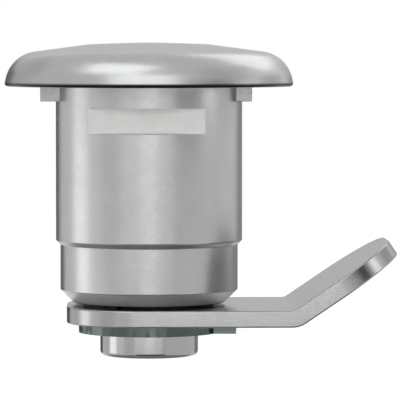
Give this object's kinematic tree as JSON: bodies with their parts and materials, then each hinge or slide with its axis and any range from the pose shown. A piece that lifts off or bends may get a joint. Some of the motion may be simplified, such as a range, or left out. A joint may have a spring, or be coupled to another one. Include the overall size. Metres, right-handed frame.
{
  "type": "rotary cabinet lock",
  "caption": "Keyed rotary cabinet lock with a domed head, a barrel with clip slots and lugs, and a wafer plug that turns a cranked cam through a quarter turn.",
  "frame": {"origin": "on the lock's axis, in the plane of the head's underside that seats on the panel", "axes": "+Z along the axis to the key side, +X along the arm of the cam in the locked position, +Y to the back"},
  "size_m": [0.04, 0.0294, 0.032],
  "materials": {
    "satin_nickel": "satin nickel plate on die-cast zinc",
    "plug_nickel": "satin nickel plate on die-cast zinc",
    "brass": "stamped brass sheet",
    "spring_steel": "bright drawn wire",
    "dark_steel": "phosphated spring steel",
    "cam_steel": "zinc-plated stamped sheet",
    "washer_steel": "polished zinc-plated steel",
    "screw_steel": "zinc-plated steel"
  },
  "bodies": {
    "housing": {"housing": "satin_nickel"},
    "rotor": {"plug": "plug_nickel", "wafer_spring_1": "spring_steel", "wafer_spring_2": "spring_steel", "wafer_spring_3": "spring_steel", "wafer_spring_4": "spring_steel", "wafer_spring_5": "spring_steel", "wafer_spring_6": "spring_steel", "shim_washer": "dark_steel", "retaining_ring": "dark_steel", "stop_disc": "dark_steel", "cam": "cam_steel", "tab_washer": "washer_steel", "cam_screw": "screw_steel"},
    "wafer_1": {"wafer_1": "brass"},
    "wafer_2": {"wafer_2": "brass"},
    "wafer_3": {"wafer_3": "brass"},
    "wafer_4": {"wafer_4": "brass"},
    "wafer_5": {"wafer_5": "brass"},
    "wafer_6": {"wafer_6": "brass"}
  },
  "joints": [
    {"name": "plug_turn", "type": "hinge", "parent": "housing", "child": "rotor", "pos_m": [0, 0, 0], "axis": [0, 0, 1], "range_deg": [0, 90]},
    {"name": "wafer_1_slide", "type": "slide", "parent": "rotor", "child": "wafer_1", "axis": [1, 0, 0], "range_m": [0, 0.0005], "deforming": ["wafer_spring_1"]},
    {"name": "wafer_2_slide", "type": "slide", "parent": "rotor", "child": "wafer_2", "axis": [-1, 0, 0], "range_m": [0, 0.0005], "deforming": ["wafer_spring_2"]},
    {"name": "wafer_3_slide", "type": "slide", "parent": "rotor", "child": "wafer_3", "axis": [1, 0, 0], "range_m": [0, 0.0005], "deforming": ["wafer_spring_3"]},
    {"name": "wafer_4_slide", "type": "slide", "parent": "rotor", "child": "wafer_4", "axis": [-1, 0, 0], "range_m": [0, 0.0005], "deforming": ["wafer_spring_4"]},
    {"name": "wafer_5_slide", "type": "slide", "parent": "rotor", "child": "wafer_5", "axis": [1, 0, 0], "range_m": [0, 0.0005], "deforming": ["wafer_spring_5"]},
    {"name": "wafer_6_slide", "type": "slide", "parent": "rotor", "child": "wafer_6", "axis": [-1, 0, 0], "range_m": [0, 0.0005], "deforming": ["wafer_spring_6"]}
  ]
}
